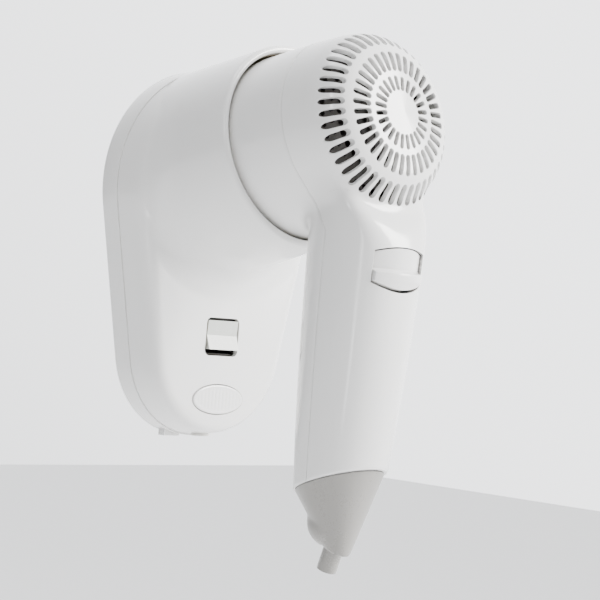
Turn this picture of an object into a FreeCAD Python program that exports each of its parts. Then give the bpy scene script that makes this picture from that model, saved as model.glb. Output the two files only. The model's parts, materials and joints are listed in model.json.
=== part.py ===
"""Wall-mounted hair dryer: a wall unit with a tilted cup, and a hand unit that slides out of it.

Frame: millimetres, +Z up, the wall is the plane Y = 0 and the dryer stands out towards -Y.
The origin is the centre of the four wall screws, on the wall.
Turned pieces are drawn about their own Z axis and then placed on the barrel axis, where
their height is the station: the distance from the wall along that axis.
"""
import FreeCAD, Part
import math
import os
import Sketcher
from FreeCAD import Placement, Rotation, Vector

X_AXIS = Vector(1, 0, 0)
Y_AXIS = Vector(0, 1, 0)
Z_AXIS = Vector(0, 0, 1)
ORIGIN = Vector(0, 0, 0)

doc = FreeCAD.newDocument("hair_dryer")
sheet = doc.addObject("Spreadsheet::Sheet", "sizes")

SIZES = {
    # wall unit
    "tilt": 13, "axis_height": 30, "top_radius": 54.7, "bottom_radius": 40.6,
    "top_height": 25.2, "bottom_height": -46.2, "skirt_depth": 10, "edge_depth": 20.5,
    "cover_depth": 26, "side_draft": 2.2, "face_inset": 6.5, "wall_thickness": 2.4,
    "floor_thickness": 3, "screw_across": 50, "screw_up": 90, "screw_hole": 2.4,
    "cable_hole": 5, "cable_height": -5, "post_radius": 4, "post_hole": 1.6,
    "post_rise": 8, "pilot_depth": 14,
    "tab_width": 9, "tab_across": 9.5, "tab_low": -87.4,
    # cup and its liner
    "cup_root": 48.2, "cup_rim": 45.45, "cup_length": 70.4, "cup_mouth": 42.2,
    "cup_bore": 43.3, "mouth_station": 66, "liner_outer": 43.1, "liner_inner": 42,
    "liner_back": 15, "liner_floor": 17, "rest_station": 21.7, "rest_inner": 33,
    "rest_outer": 39, "plunger_hole": 2.8,
    # rocker and oval cap of the wall unit
    "window_height": -40.8, "window_width": 19.6, "window_tall": 17.2, "rocker_gap": 0.6,
    "rocker_press": 8, "rocker_pivot": -21, "rocker_pin": 1.1, "oval_height": -69.1, "oval_long": 14.8,
    "oval_short": 6.6, "oval_gap": 0.35,
    # hand unit: barrel and dome
    "outlet_station": 22, "outlet_radius": 38.2, "barrel_station": 68,
    "barrel_radius": 40.9, "seam_station": 99, "seam_radius": 39.7, "shoulder_station": 113,
    "shoulder_radius": 38.5, "dome_top": 131.8, "shell": 2.2, "slot_floor": 116.5,
    # hand unit: handle and its end cap
    "handle_across": 25.3, "handle_deep": 24.1, "handle_front": -112.4,
    "handle_shoulder": 39.6, "shoulder_y": -97, "shoulder_z": -8,
    "handle_lean": 3, "seam_turn": 8, "seam_gap": 0.15, "joint_height": -97,
    "joint_gap": 0.3, "cap_slope": 20.7,
    "neck_y": -109.3, "neck_z": -126.6, "neck_radius": 5.6, "bulb_y": -105.2,
    "bulb_z": -114.5, "bulb_radius": 11, "swivel_y": -108.6, "swivel_z": -120.5,
    "swivel_lean": 19, "swivel_swing": 70, "swivel_barrel": 4.7, "stub_radius": 4.3, "stub_length": 15.2,
    "swivel_half": 4.3, "pin_radius": 1.5, "pin_clearance": 0.05,
    # rocker of the hand unit
    "thumb_height": -6.3, "thumb_half": 14.5, "thumb_top": 1.0, "thumb_low": -12.2,
    "thumb_pivot": -128.4, "thumb_press": 4, "thumb_pin": 1.2, "thumb_pin_half": 15.9,
    "thumb_step": -7.2, "thumb_sunk": 1.6, "thumb_proud": 1.0,
    # fan, motor and heater
    "duct_outer": 35.6, "duct_inner": 34.2, "hub_outer": 15.4, "hub_inner": 14.1,
    "duct_back": 76, "duct_front": 114, "motor_radius": 13.9, "shaft_radius": 1.15,
    "fan_radius": 33.4, "fan_hub": 12, "fan_back": 103.2, "fan_front": 112.8,
    "tube_outer": 34.3, "tube_inner": 33.6, "tube_back": 29, "tube_front": 66,
    "coil_radius": 26, "wire_radius": 1.1, "coil_pitch": 5.4, "coil_start": 34,
}
for row, (alias, value) in enumerate(SIZES.items(), start=1):
    sheet.set(f"A{row}", alias)
    sheet.set(f"B{row}", str(value))
    sheet.setAlias(f"B{row}", alias)
doc.recompute()

TERMINAL_SPOTS = (-12, -4, 4, 12)      # across the block
CLAMP_SCREW_SPOTS = (-7, 7)
SWITCH_TAG_SPOTS = (-4, 0, 4)
SCREEN_HOLE_RINGS = ((6, 8), (11, 14), (16, 20), (21, 27), (26, 33), (31, 40))  # radius, holes
VANE_COUNT, BLADE_COUNT, COIL_TURNS = 7, 9, 6
BLADE_ANGLE = 48                       # degrees to the fan's plane
CROWN_POINTS = [(37.2, 118.4), (34.2, 123.6), (29.2, 127.6), (16, 130.6)]  # radius, station
HANDLE_SCREW_HEIGHTS = (-36, -80)
GRILLE_RINGS = (  # slots in the ring, inner radius, outer radius, half width
    (24, 9.5, 15.8, 0.92),
    (36, 18.1, 26.8, 1.15),
    (44, 30.1, 37.3, 1.45),
)


def size(alias):
    return float(sheet.get(alias))


def on_axis():
    """Placement that lays local Z along the barrel axis, out of the wall and upwards."""
    return Placement(Vector(0, 0, size("axis_height")), Rotation(X_AXIS, 90 - size("tilt")))


def station_point(station, up=0.0, across=0.0):
    return on_axis().multVec(Vector(across, up, station))


# ---------------------------------------------------------------- document helpers
parts = {}


def keep(label, thing, place=None):
    """Label a sub-part, place it and remember it for the export."""
    thing.Label = label
    if place is not None:
        thing.Placement = place
    parts[label] = thing
    return thing


def shaped(label, shape, place=None):
    """A sub-part whose shape is worked out from the sheet by Part's own functions."""
    thing = doc.addObject("Part::Feature", label)
    thing.Shape = shape
    return keep(label, thing, place)


def bind(thing, **expressions):
    for prop, expression in expressions.items():
        thing.setExpression(prop.replace("_", "."), expression)
    return thing


def cylinder(name, radius, length, place=None):
    thing = doc.addObject("Part::Cylinder", name)
    thing.Placement = place or Placement()
    return bind(thing, Radius=radius, Height=length)


def box(name, width, depth, height, place=None):
    thing = doc.addObject("Part::Box", name)
    thing.Placement = place or Placement()
    return bind(thing, Length=width, Width=depth, Height=height)


def joined(name, *things):
    thing = doc.addObject("Part::MultiFuse", name)
    thing.Shapes = list(things)
    return thing


def minus(name, base, *tools):
    thing = doc.addObject("Part::Cut", name)
    thing.Base = base
    thing.Tool = tools[0] if len(tools) == 1 else joined(name + "_tools", *tools)
    return thing


def origin_plane(body, role):
    return next(f for f in body.Origin.OriginFeatures if f.Role == role)


def sketch_on(body, role, name):
    sketch = body.newObject("Sketcher::SketchObject", name)
    sketch.AttachmentSupport = [(origin_plane(body, role), "")]
    sketch.MapMode = "FlatFace"
    return sketch


def closed_outline(sketch, points):
    """Straight-sided outline whose corners are bound to expressions of the sheet."""
    values = [[float(sheet.evalExpression(str(e))) if isinstance(e, str) else e for e in p]
              for p in points]
    count = len(points)
    first = sketch.GeometryCount
    for i in range(count):
        start, end = values[i], values[(i + 1) % count]
        sketch.addGeometry(Part.LineSegment(Vector(*start, 0), Vector(*end, 0)))
    for i in range(count):
        sketch.addConstraint(
            Sketcher.Constraint("Coincident", first + i, 2, first + (i + 1) % count, 1))
    for i, point in enumerate(points):
        for kind, axis, expression, value in zip(
                ("DistanceX", "DistanceY"), (-2, -1), point, values[i]):
            if abs(value) < 1e-9:
                sketch.addConstraint(Sketcher.Constraint("PointOnObject", first + i, 1, axis))
                continue
            index = sketch.addConstraint(
                Sketcher.Constraint(kind, -1, 1, first + i, 1, value))
            if isinstance(expression, str):
                sketch.setExpression(f"Constraints[{index}]", expression)


def turned(label, points, place=None):
    """A body of revolution; each point is (radius, station)."""
    body = doc.addObject("PartDesign::Body", label)
    sketch = sketch_on(body, "XZ_Plane", label + "_profile")
    closed_outline(sketch, points)
    turn = body.newObject("PartDesign::Revolution", label + "_turn")
    turn.Profile = sketch
    turn.ReferenceAxis = (sketch, ["V_Axis"])
    turn.Angle = 360
    return keep(label, body, place)


def pocket(body, name, sketch, length, midplane=False, reverse=False):
    cut = body.newObject("PartDesign::Pocket", name)
    cut.Profile = sketch
    cut.Midplane = midplane
    cut.Reversed = reverse
    cut.setExpression("Length", length)
    return cut


def pad(body, name, sketch, length, midplane=False):
    block = body.newObject("PartDesign::Pad", name)
    block.Profile = sketch
    block.Midplane = midplane
    block.setExpression("Length", length)
    return block


def circles(sketch, spots, radius):
    """Equal circles whose centres and radius are bound to expressions."""
    for across, up in spots:
        values = [float(sheet.evalExpression(str(e))) for e in (across, up)]
        index = sketch.addGeometry(Part.Circle(Vector(*values, 0), Z_AXIS, size(radius)))
        link = sketch.addConstraint(Sketcher.Constraint("Radius", index, size(radius)))
        sketch.setExpression(f"Constraints[{link}]", f"sizes.{radius}")
        for kind, axis, expression, value in zip(
                ("DistanceX", "DistanceY"), (-2, -1), (across, up), values):
            if abs(value) < 1e-9:
                sketch.addConstraint(Sketcher.Constraint("PointOnObject", index, 3, axis))
                continue
            link = sketch.addConstraint(Sketcher.Constraint(kind, -1, 1, index, 3, value))
            sketch.setExpression(f"Constraints[{link}]", str(expression))


def teardrop_sketch(body, name, grow):
    """Two arcs joined by their common tangents, on the wall plane; grow is an expression."""
    sketch = sketch_on(body, "XZ_Plane", name)
    extra = float(sheet.evalExpression(grow))
    large, small = size("top_radius") + extra, size("bottom_radius") + extra
    high, low = Vector(0, size("top_height"), 0), Vector(0, size("bottom_height"), 0)
    slope = math.asin((large - small) / (high.y - low.y))
    sketch.addGeometry(Part.ArcOfCircle(Part.Circle(high, Z_AXIS, large),
                                        slope, math.pi - slope))
    sketch.addGeometry(Part.ArcOfCircle(Part.Circle(low, Z_AXIS, small),
                                        math.pi - slope, 2 * math.pi + slope))
    side = Vector(math.cos(slope), math.sin(slope), 0)
    mirror = Vector(-side.x, side.y, 0)
    sketch.addGeometry(Part.LineSegment(high + mirror * large, low + mirror * small))
    sketch.addGeometry(Part.LineSegment(low + side * small, high + side * large))
    joints = ((0, 2, 2, 1), (2, 2, 1, 1), (1, 2, 3, 1), (3, 2, 0, 1))
    for first, first_end, second, second_end in joints:
        sketch.addConstraint(Sketcher.Constraint("Tangent", first, first_end, second, second_end))
    for arc, height, radius in ((0, "top_height", "top_radius"),
                                (1, "bottom_height", "bottom_radius")):
        sketch.addConstraint(Sketcher.Constraint("PointOnObject", arc, 3, -2))
        index = sketch.addConstraint(
            Sketcher.Constraint("DistanceY", -1, 1, arc, 3, size(height)))
        sketch.setExpression(f"Constraints[{index}]", f"sizes.{height}")
        index = sketch.addConstraint(Sketcher.Constraint("Radius", arc, size(radius) + extra))
        sketch.setExpression(f"Constraints[{index}]", f"sizes.{radius} + {grow}")
    return sketch


# ---------------------------------------------------------------- shapes shared by parts
def block(low, high):
    """Plain block between two corners."""
    low, high = Vector(*low), Vector(*high)
    return Part.makeBox(high.x - low.x, high.y - low.y, high.z - low.z, low)


def rod(radius, start, end):
    """Round bar between two points."""
    start, end = Vector(*start), Vector(*end)
    return Part.makeCylinder(radius, (end - start).Length, start, end - start)


def teardrop_wire(grow, y):
    large, small = size("top_radius") + grow, size("bottom_radius") + grow
    high, low = Vector(0, y, size("top_height")), Vector(0, y, size("bottom_height"))
    slope = math.asin((large - small) / (high.z - low.z))
    right = Vector(math.cos(slope), 0, math.sin(slope))
    left = Vector(-right.x, 0, right.z)
    top = Part.Arc(high + right * large, high + Z_AXIS * large, high + left * large)
    base = Part.Arc(low + left * small, low - Z_AXIS * small, low + right * small)
    sides = (Part.makeLine(high + left * large, low + left * small),
             Part.makeLine(low + right * small, high + right * large))
    return Part.Wire([top.toShape(), sides[0], base.toShape(), sides[1]])


def cover_block(offset):
    """Body of the cover: drafted sides and a rounded-down front, offset inwards."""
    back, edge, face = -size("skirt_depth"), -size("edge_depth"), -size("cover_depth")
    steps = ((0.6, back), (size("side_draft"), edge), (size("face_inset"), face + offset))
    wires = [teardrop_wire(-inset - offset, y) for inset, y in steps]
    return Part.makeLoft(wires, True, True)


def turned_local(points):
    """Solid of revolution about local Z from (radius, station) corners."""
    wire = Part.makePolygon([Vector(r, 0, s) for r, s in points + points[:1]])
    return Part.Face(wire).revolve(ORIGIN, Z_AXIS, 360)


def turned_solid(points):
    """Solid of revolution already placed on the barrel axis."""
    solid = turned_local(points)
    solid.Placement = on_axis()
    return solid


def smooth_dome(shell):
    """Barrel with a domed intake end, offset inwards by shell; the crown is one curve."""
    barrel = [(size("outlet_radius"), size("outlet_station")),
              (size("barrel_radius"), size("barrel_station")),
              (size("seam_radius"), size("seam_station")),
              (size("shoulder_radius"), size("shoulder_station"))]
    crown = [(size("shoulder_radius"), size("shoulder_station"))] + CROWN_POINTS + \
        [(0, size("dome_top"))]
    low = size("outlet_station") - (1 if shell else 0)
    barrel = [(r - shell, s) for r, s in barrel]
    barrel[0] = (barrel[0][0], low)
    crown = [(max(r - shell * min(1, r / 30), 0), s - shell * min(1, (s - 112) / 14))
             for r, s in crown]
    barrel[-1] = crown[0]
    curve = Part.BSplineCurve()
    along = Vector(-0.12, 0, 1)
    curve.interpolate([Vector(r, 0, s) for r, s in crown],
                      InitialTangent=along, FinalTangent=Vector(-1, 0, 0))
    corners = [Vector(0, 0, low)] + [Vector(r, 0, s) for r, s in barrel]
    lines = [Part.makeLine(a, b) for a, b in zip(corners, corners[1:])]
    spine = Part.makeLine(Vector(0, 0, crown[-1][1]), corners[0])
    face = Part.Face(Part.Wire(lines + [curve.toShape(), spine]))
    solid = face.revolve(ORIGIN, Z_AXIS, 360)
    solid.Placement = on_axis()
    return solid


def handle_size(height):
    """Half width and half depth of the handle's oval section at a height."""
    across = size("handle_across") + 0.030 * height - 0.00024 * height ** 2
    deep = size("handle_deep") + 0.018 * height - 0.00036 * height ** 2
    return across, deep


def handle_middle(height):
    return size("handle_front") - math.tan(math.radians(size("handle_lean"))) * height


def oval_wire(centre, first, second, count=24):
    """Closed smooth oval through points at equal angles; it starts at centre + first."""
    points = []
    for i in range(count):
        angle = 2 * math.pi * i / count
        points.append(centre + first * math.cos(angle) + second * math.sin(angle))
    curve = Part.BSplineCurve()
    curve.interpolate(Points=points, PeriodicFlag=True)
    return Part.Wire(curve.toShape())


def handle_section(height, offset):
    across, deep = (value - offset for value in handle_size(height))
    centre = Vector(0, handle_middle(height), height)
    return oval_wire(centre, X_AXIS * across, Y_AXIS * deep)


def handle_solid(offset):
    heights = (30, 0, -50, -100, -135)
    handle = Part.makeLoft([handle_section(z, offset) for z in heights], True, False)
    y, z = size("shoulder_y"), size("shoulder_z")
    round_off = rod(size("handle_shoulder") - offset, (-60, y, z), (60, y, z))
    return handle.cut(block((-60, y - 80, z), (60, y, z + 80)).cut(round_off))


def below_cap_joint(drop):
    """Half space under the slanted joint of the handle and its end cap."""
    slab = Part.makeBox(200, 400, 200, Vector(-100, -200, -200))
    slab.Placement = Placement(Vector(0, handle_middle(size("joint_height")),
                                      size("joint_height") - drop),
                               Rotation(X_AXIS, -size("cap_slope")))
    return slab


def behind_seam():
    """Region of the rear shell: past the barrel's ring seam and outside the handle's seam."""
    ring_top = station_point(size("seam_station"), 90)
    ring_low = station_point(size("seam_station"), -30)
    turn_z = size("seam_turn")
    low_z = -160
    outline = [ring_top, ring_low, Vector(0, handle_middle(turn_z), turn_z),
               Vector(0, handle_middle(low_z), low_z), Vector(0, -300, low_z),
               Vector(0, -300, 300), Vector(0, ring_top.y, 300)]
    wire = Part.makePolygon([Vector(-100, p.y, p.z) for p in outline + outline[:1]])
    return Part.Face(wire).extrude(Vector(200, 0, 0))


# ---------------------------------------------------------------- wall unit
def make_back_plate():
    body = doc.addObject("PartDesign::Body", "back_plate")
    outline = teardrop_sketch(body, "plate_outline", "0")
    pad(body, "plate_block", outline, "sizes.skirt_depth")
    doc.recompute()
    hollow = teardrop_sketch(body, "plate_hollow", "-sizes.wall_thickness")
    hollow.AttachmentOffset = Placement(Vector(0, 0, size("skirt_depth")), Rotation())
    pocket(body, "plate_tray", hollow, "sizes.skirt_depth - sizes.floor_thickness")
    doc.recompute()
    posts = sketch_on(body, "XZ_Plane", "screw_post")
    circles(posts, [("0", "sizes.oval_height")], "post_radius")
    pad(body, "cover_post", posts, "sizes.skirt_depth + sizes.post_rise")
    doc.recompute()
    holes = sketch_on(body, "XZ_Plane", "wall_holes")
    half_across, half_up = "sizes.screw_across / 2", "sizes.screw_up / 2"
    corners = [(f"{sx}{half_across}", f"{sz}{half_up}") for sx in ("", "-") for sz in ("", "-")]
    circles(holes, corners, "screw_hole")
    pocket(body, "screw_holes", holes, "sizes.skirt_depth", reverse=True)
    entry = sketch_on(body, "XZ_Plane", "cable_entry")
    circles(entry, [("0", "sizes.cable_height")], "cable_hole")
    pocket(body, "cable_entry_hole", entry, "sizes.skirt_depth", reverse=True)
    pilot = sketch_on(body, "XZ_Plane", "pilot")
    pilot.AttachmentOffset = Placement(Vector(0, 0, size("skirt_depth") + size("post_rise")), Rotation())
    circles(pilot, [("0", "sizes.oval_height")], "post_hole")
    pocket(body, "pilot_hole", pilot, "sizes.pilot_depth")
    tabs = sketch_on(body, "XZ_Plane", "release_tabs")
    tabs.AttachmentOffset = Placement(Vector(0, 0, size("floor_thickness")), Rotation())
    for side in ("", "-"):
        across = [f"{side}(sizes.tab_across {sign} sizes.tab_width / 2)" for sign in "+-"]
        low, high = "sizes.tab_low", "sizes.tab_low + 8"
        closed_outline(tabs, [(across[0], low), (across[1], low),
                              (across[1], high), (across[0], high)])
    pad(body, "release_tab_pad", tabs, "sizes.floor_thickness + 1")
    keep("back_plate", body)


def make_front_cover():
    wall = size("wall_thickness")
    outside = cover_block(0)
    cone = Part.makeCone(size("cup_root"), size("cup_rim"), size("cup_length"))
    cone.Placement = on_axis()
    ahead = block((-200, -200, -200), (200, -size("skirt_depth"), 200))
    outside = outside.fuse(cone.common(ahead))
    bore = turned_solid([(0, -20), (size("cup_bore"), -20),
                         (size("cup_bore"), size("mouth_station")),
                         (size("cup_mouth"), size("mouth_station")),
                         (size("cup_mouth"), size("cup_length") + 5), (0, size("cup_length") + 5)])
    cover = outside.cut(cover_block(wall)).cut(bore)
    lining = turned_solid([(size("cup_bore"), 4), (size("cup_bore") + 2, 4),
                           (size("cup_bore") + 2, 40), (size("cup_bore"), 40)])
    cover = cover.fuse(lining.common(cover_block(wall).fuse(cone).common(ahead)))
    z = size("window_height")
    half, tall = size("window_width") / 2, size("window_tall") / 2
    window = block((-half, -40, z - tall), (half, 0, z + tall))
    window = window.makeFillet(2.5, [e for e in window.Edges if e.Length > 39])
    cover = cover.cut(window)
    face = -size("cover_depth")
    recess = Part.Face(oval_outline(size("oval_gap"), face - 1)).extrude(Vector(0, 3.2, 0))
    seat = Part.Face(oval_outline(1.2, face + wall - 0.5)).extrude(Vector(0, 2.2, 0))
    hole = rod(2.2, (0, -40, size("oval_height")), (0, -5, size("oval_height")))
    cover = cover.fuse(seat).cut(recess).cut(hole).removeSplitter()
    shaped("front_cover", cover)


def oval_outline(grow, y):
    centre = Vector(0, y, size("oval_height"))
    long_end = centre + X_AXIS * (size("oval_long") + grow)
    short_end = centre + Z_AXIS * (size("oval_short") + grow)
    return Part.Wire(Part.Ellipse(long_end, short_end, centre).toShape())


def make_wall_fittings():
    face = -size("cover_depth")
    cap = Part.Face(oval_outline(0, face - 0.6)).extrude(Vector(0, 1.9, 0))
    shaped("oval_cap", cap)
    z = size("oval_height")
    head = rod(3.4, (0, -20.6, z), (0, -18.4, z))
    shank = rod(size("post_hole"), (0, -18.4, z), (0, -6, z))
    shaped("cover_screw", head.fuse(shank).removeSplitter())

    z = size("window_height")
    half = size("window_width") / 2
    outer, inner = half - 0.25, half - size("rocker_gap")
    housing = block((-outer, -23.4, z - 8.2), (outer, -8, z + 8.2))
    well = block((-inner, -30, z - 7.6), (inner, -14, z + 7.6))
    contacts = [block((x - 1, -8, z - 3), (x + 1, -5, z + 3)) for x in SWITCH_TAG_SPOTS]
    ears = block((-outer, -22.6, z - 10.4), (outer, -20.6, z + 10.4))
    ears = ears.cut(block((-half, -30, z - 8.2), (half, -5, z + 8.2)))
    bearing = rod(size("rocker_pin") + size("pin_clearance"),
                  (-half, size("rocker_pivot"), z), (half, size("rocker_pivot"), z))
    housing = housing.cut(well).fuse(contacts).fuse(ears).cut(bearing)
    shaped("main_switch_body", housing.removeSplitter())

    body = doc.addObject("PartDesign::Body", "main_rocker")
    outline = sketch_on(body, "YZ_Plane", "rocker_profile")
    closed_outline(outline, [(-6.2, 6.6), (-4.7, 0.0), (-6.2, -6.6), (-1.0, -6.0),
                             (3.4, -2.4), (3.4, 2.4), (-1.0, 6.0)])
    pad(body, "rocker_block", outline, "sizes.window_width - 3 * sizes.rocker_gap", True)
    doc.recompute()
    trunnion = sketch_on(body, "YZ_Plane", "rocker_trunnion")
    circles(trunnion, [("0", "0")], "rocker_pin")
    pad(body, "rocker_pivot_pin", trunnion, "sizes.window_width - sizes.rocker_gap", True)
    keep("main_rocker", body, Placement(Vector(0, size("rocker_pivot"), z),
                                        Rotation(X_AXIS, -size("rocker_press"))))

    terminals = doc.addObject("Part::Box", "terminal_body")
    bind(terminals, Length="32", Width="11", Height="12")
    terminals.Placement = Placement(Vector(-16, -14, -28), Rotation())
    wells = [cylinder(f"terminal_well_{i}", "2.2", "6",
                      Placement(Vector(x, -14, -22), Rotation(X_AXIS, -90)))
             for i, x in enumerate(TERMINAL_SPOTS)]
    keep("terminal_block", minus("terminal_cut", terminals, *wells))
    shaped("terminal_screws", Part.makeCompound(
        [rod(2.15, (x, -12.6, -22), (x, -8.3, -22)) for x in TERMINAL_SPOTS]))

    saddle = block((-10, -9, -15), (10, -size("floor_thickness"), -9))
    saddle = saddle.cut(rod(2.9, (0, -5.5, -30), (0, -5.5, 0)))
    holes = [rod(1.3, (x, -20, -12), (x, 0, -12)) for x in CLAMP_SCREW_SPOTS]
    shaped("mains_cable_clamp", saddle.cut(Part.makeCompound(holes)))
    shaped("clamp_screws", Part.makeCompound(
        [rod(2.4, (x, -10.6, -12), (x, -9, -12)).fuse(
            rod(1.25, (x, -9, -12), (x, -3.2, -12))).removeSplitter() for x in CLAMP_SCREW_SPOTS]))

    turned("cup_liner", [
        ("sizes.plunger_hole", "sizes.liner_back"), ("sizes.liner_outer", "sizes.liner_back"),
        ("sizes.liner_outer", "sizes.mouth_station - 0.3"),
        ("sizes.liner_inner", "sizes.mouth_station - 0.3"),
        ("sizes.liner_inner", "sizes.liner_floor"), ("sizes.rest_outer", "sizes.liner_floor"),
        ("sizes.rest_outer", "sizes.rest_station"), ("sizes.rest_inner", "sizes.rest_station"),
        ("sizes.rest_inner", "sizes.liner_floor"), ("sizes.plunger_hole", "sizes.liner_floor"),
    ], on_axis())

    switch = block((-10, -3.2, 4.8), (10, 3.2, 9.3))
    shaped("park_microswitch", switch, on_axis())
    turned("park_plunger", [(0, 9.6), (4.4, 9.6), (4.4, 10.8), (2.5, 10.8), (2.5, 23.0),
                            (1.7, 23.7), (0, 23.7)], on_axis())


def make_cord_grommet(cover_part):
    """Rubber ring in the bottom wall, where the lead to the hand unit leaves."""
    low = size("bottom_height") - size("bottom_radius")
    y = -15.6
    hole = rod(3.9, (0, y, low - 5), (0, y, low + 12))
    flange_room = rod(5.4, (0, y, low + 5), (0, y, low + 12))
    cover_part.Shape = cover_part.Shape.cut(hole)
    tube = rod(3.8, (0, y, low + 0.4), (0, y, low + 6.4))
    flange = rod(5.2, (0, y, low + 4.4), (0, y, low + 6.4)).common(flange_room)
    bore = rod(2.6, (0, y, low - 5), (0, y, low + 12))
    grommet = tube.fuse(flange).cut(bore).removeSplitter()
    shaped("base_cord_grommet", grommet.cut(cover_part.Shape))


# ---------------------------------------------------------------- hand unit
def largest(shape):
    return max(shape.Solids, key=lambda solid: solid.Volume)


def slot_cutters():
    """Round-ended slots in three rings, cut along the barrel axis."""
    low, high = size("slot_floor"), size("dome_top") + 5
    cutters = []
    for count, inner, outer, half in GRILLE_RINGS:
        near, far = inner + half, outer - half
        corners = [Vector(near, -half, low), Vector(far, -half, low),
                   Vector(far, half, low), Vector(near, half, low)]
        ends = (Part.Arc(corners[1], Vector(outer, 0, low), corners[2]),
                Part.Arc(corners[3], Vector(inner, 0, low), corners[0]))
        wire = Part.Wire([Part.makeLine(corners[0], corners[1]), ends[0].toShape(),
                          Part.makeLine(corners[2], corners[3]), ends[1].toShape()])
        slot = Part.Face(wire).extrude(Vector(0, 0, high - low))
        for i in range(count):
            turned_slot = slot.copy()
            turned_slot.rotate(ORIGIN, Z_AXIS, (i + 0.5) * 360 / count)
            cutters.append(turned_slot)
    group = Part.makeCompound(cutters)
    group.Placement = on_axis()
    return group


def thumb_window(grow, depth):
    """Barrel-shaped window of the hand rocker, as a block along Y."""
    half = size("thumb_half") + grow
    top, low = size("thumb_top") + grow, size("thumb_low") - grow
    arch_top, arch_low = top + 2.2, low - 3.6
    corners = [Vector(-half, 0, top), Vector(half, 0, top),
               Vector(half, 0, low), Vector(-half, 0, low)]
    arches = (Part.Arc(corners[0], Vector(0, 0, arch_top), corners[1]),
              Part.Arc(corners[2], Vector(0, 0, arch_low), corners[3]))
    wire = Part.Wire([arches[0].toShape(), Part.makeLine(corners[1], corners[2]),
                      arches[1].toShape(), Part.makeLine(corners[3], corners[0])])
    window = Part.Face(wire).extrude(Vector(0, -60, 0))
    window.translate(Vector(0, depth, 0))
    return window


def make_hand_shells():
    shell = size("shell")
    handle = handle_solid(0).cut(turned_solid([(0, 20), (30, 20), (30, 90), (0, 90)]))
    below_barrel = turned_solid([(0, size("outlet_station") - 10),
                                 (size("cup_rim") + 20, size("outlet_station") - 10),
                                 (size("cup_rim") + 20, 76), (0, 76)])
    outside = smooth_dome(0).fuse(handle.cut(below_barrel))
    inside = smooth_dome(shell).fuse(handle_solid(shell).cut(below_barrel))
    hollow = outside.cut(inside).cut(below_cap_joint(0))
    rear_region = behind_seam()
    gap = size("seam_gap")
    rear = largest(hollow.common(rear_region))
    front = largest(hollow.cut(rear_region))

    rear = rear.cut(slot_cutters())
    frame = thumb_window(2.0, -128).common(handle_solid(1.4)).cut(handle_solid(5.0))
    y, z = size("thumb_pivot"), size("thumb_height")
    reach = size("thumb_pin_half") + 0.2
    bearing = rod(size("thumb_pin") + size("pin_clearance"), (-reach, y, z), (reach, y, z))
    rear = rear.fuse(frame).cut(thumb_window(0, -110)).cut(bearing)
    bosses, bores, heads = [], [], []
    for z in HANDLE_SCREW_HEIGHTS:
        middle = handle_middle(z)
        bosses.append(rod(3.4, (0, middle - 25, z), (0, middle - gap, z)))
        bosses.append(rod(3.6, (0, middle + gap, z), (0, middle + 25, z)))
        bores.append(rod(1.5, (0, middle - 12, z), (0, middle + 40, z)))
        heads.append(rod(2.9, (0, middle + 14, z), (0, middle + 40, z)))
    inner_handle = handle_solid(shell - 0.4)
    posts = Part.makeCompound(bosses).common(inner_handle)
    rear = rear.fuse(posts.common(rear_region)).cut(bores)
    front = front.fuse(posts.cut(rear_region)).cut(bores).cut(heads)
    shaped("rear_housing", largest(rear.removeSplitter()))
    shaped("front_housing", largest(front.removeSplitter()))
    screws = []
    for z in HANDLE_SCREW_HEIGHTS:
        middle = handle_middle(z)
        shank = rod(1.45, (0, middle - 10, z), (0, middle + 14, z))
        screws.append(shank.fuse(rod(2.6, (0, middle + 14, z), (0, middle + 16.2, z))))
    shaped("handle_screws", Part.makeCompound([s.removeSplitter() for s in screws]))


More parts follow.
